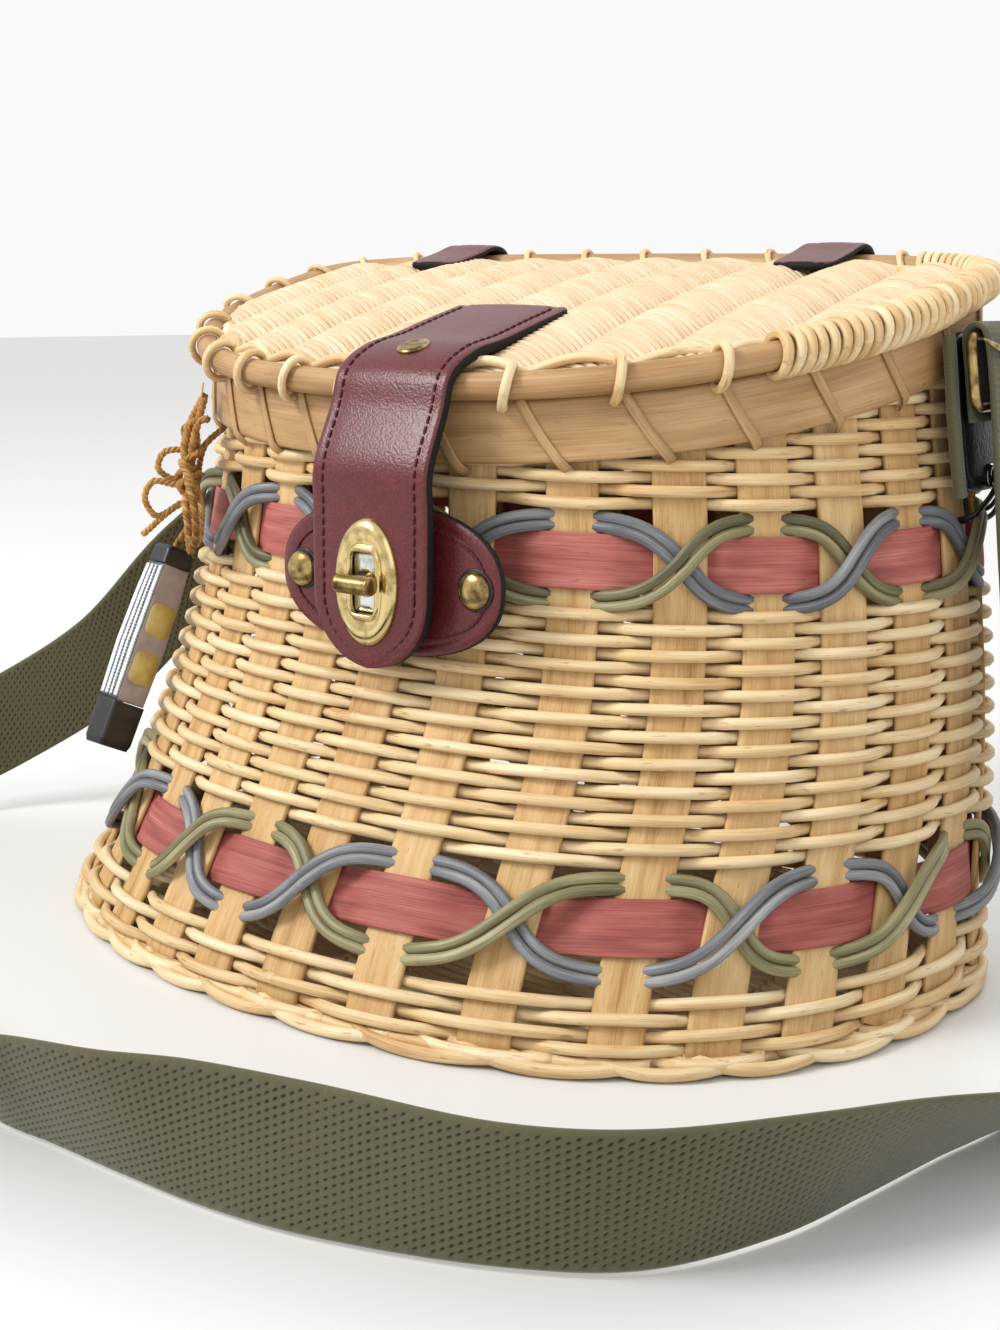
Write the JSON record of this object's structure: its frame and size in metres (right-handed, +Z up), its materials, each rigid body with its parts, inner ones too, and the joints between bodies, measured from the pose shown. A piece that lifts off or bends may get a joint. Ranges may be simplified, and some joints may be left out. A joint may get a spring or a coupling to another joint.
{
  "type": "fishing creel bag",
  "caption": "Woven reed creel with tilted ribbed lid, leather turn-lock closure, dyed bands with crossed lacing and a webbing shoulder strap lying in front.",
  "frame": {"origin": "middle of the base's flat underside", "axes": "+Z up, the front with the closure strap faces -Y, +X is to the right seen from the front"},
  "size_m": [0.506, 0.3388, 0.2345],
  "materials": {
    "round_reed": "peeled round reed, satin",
    "flat_reed": "flat oval reed, satin",
    "rose_reed": "dyed flat reed, matt",
    "slate_cane": "dyed round cane, satin",
    "olive_cane": "dyed round cane, satin",
    "maroon_leather": "grained, polished",
    "black_leather": "smooth",
    "antique_brass": "aged, polished on the high spots",
    "nickel": "bright",
    "cotton_webbing": "open weave",
    "jute": "twisted fibre",
    "black_plastic": "matt",
    "pendant_metal": "ribbed"
  },
  "bodies": {
    "bag": {"basket_wall": "round_reed", "basket_base": "round_reed", "rim_band": "flat_reed", "lower_band": "rose_reed", "upper_band": "rose_reed", "lower_lace_slate": "slate_cane", "lower_lace_olive": "olive_cane", "upper_lace_slate": "slate_cane", "upper_lace_olive": "olive_cane", "lid_rod": "flat_reed", "lid_panel": "round_reed", "lid_edge_wrap": "round_reed", "closure_strap": "maroon_leather", "lock_tab": "maroon_leather", "lock_rivet_left": "antique_brass", "lock_rivet_right": "antique_brass", "lock_base": "antique_brass", "lock_plate": "antique_brass", "closure_rivet": "antique_brass", "hinge_tab_left": "maroon_leather", "hinge_tab_right": "maroon_leather", "side_tab_left": "black_leather", "eyelet_left_1": "nickel", "eyelet_left_2": "nickel", "eyelet_left_3": "nickel", "side_binding_front_left": "cotton_webbing", "side_binding_back_left": "cotton_webbing", "buckle_left": "antique_brass", "buckle_prong_left": "antique_brass", "side_tab_right": "black_leather", "eyelet_right_1": "nickel", "eyelet_right_2": "nickel", "eyelet_right_3": "nickel", "side_binding_front_right": "cotton_webbing", "side_binding_back_right": "cotton_webbing", "buckle_right": "antique_brass", "buckle_prong_right": "antique_brass", "shoulder_strap": "cotton_webbing", "twine_bow": "jute", "twine_hanger": "jute", "pendant_cap_top": "black_plastic", "pendant_body": "pendant_metal", "pendant_cap_foot": "black_plastic"},
    "knob": {"turn_knob": "antique_brass"}
  },
  "joints": [
    {"name": "turn_lock", "type": "hinge", "parent": "bag", "child": "knob", "pos_m": [0.01421, -0.0785, 0.131], "axis": [0, -1, 0], "range_deg": [0, 90]}
  ]
}
